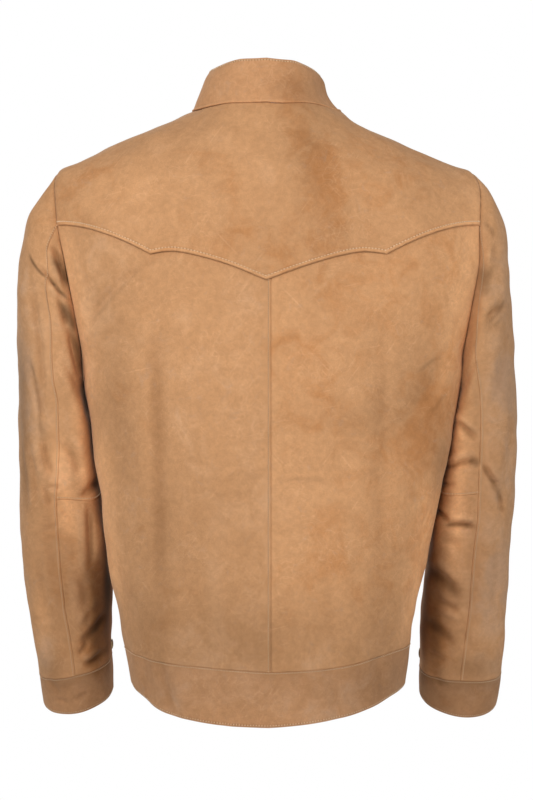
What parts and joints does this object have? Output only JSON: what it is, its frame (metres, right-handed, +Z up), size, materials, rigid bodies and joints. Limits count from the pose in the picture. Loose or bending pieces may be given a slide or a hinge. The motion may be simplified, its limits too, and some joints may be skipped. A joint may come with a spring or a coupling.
{
  "type": "suede jacket",
  "caption": "Worn-form suede jacket: stand collar, pointed scalloped back yoke, two-piece sleeves with elbow seams and cuffs, hem band, open neck, hem and cuffs.",
  "frame": {"origin": "middle of the neck on the line of the shoulder ridge, where the wearer's shoulders carry the jacket", "axes": "+Z up, +Y out of the wearer's back, -Y out of the front, +X to the wearer's left"},
  "size_m": [0.5477, 0.2886, 0.7088],
  "materials": {
    "suede": "tan napped suede, matt",
    "yoke_suede": "tan napped suede, a little lighter, matt",
    "band_suede": "tan napped suede, two layers, matt",
    "zip_tape": "woven brown tape",
    "antique_brass": "darkened brass, satin"
  },
  "bodies": {
    "jacket": {"back_left": "suede", "back_right": "suede", "back_yoke": "yoke_suede", "collar": "band_suede", "cuff_left": "band_suede", "cuff_right": "band_suede", "cuff_snap_left": "antique_brass", "cuff_snap_right": "antique_brass", "front_left": "suede", "front_right": "suede", "hem_band_back": "band_suede", "hem_band_left": "band_suede", "hem_band_right": "band_suede", "top_sleeve_left": "suede", "top_sleeve_right": "suede", "under_sleeve_lower_left": "suede", "under_sleeve_lower_right": "suede", "under_sleeve_upper_left": "suede", "under_sleeve_upper_right": "suede", "zip_slider": "antique_brass", "zip_tape_left": "zip_tape", "zip_tape_right": "zip_tape"},
    "pull_tab": {"zip_pull": "antique_brass"}
  },
  "joints": [
    {"name": "zip_pull_hinge", "type": "hinge", "parent": "jacket", "child": "pull_tab", "pos_m": [0, -0.08198, -0.04369], "axis": [-1, 0, 0], "range_deg": [0, 150]}
  ]
}
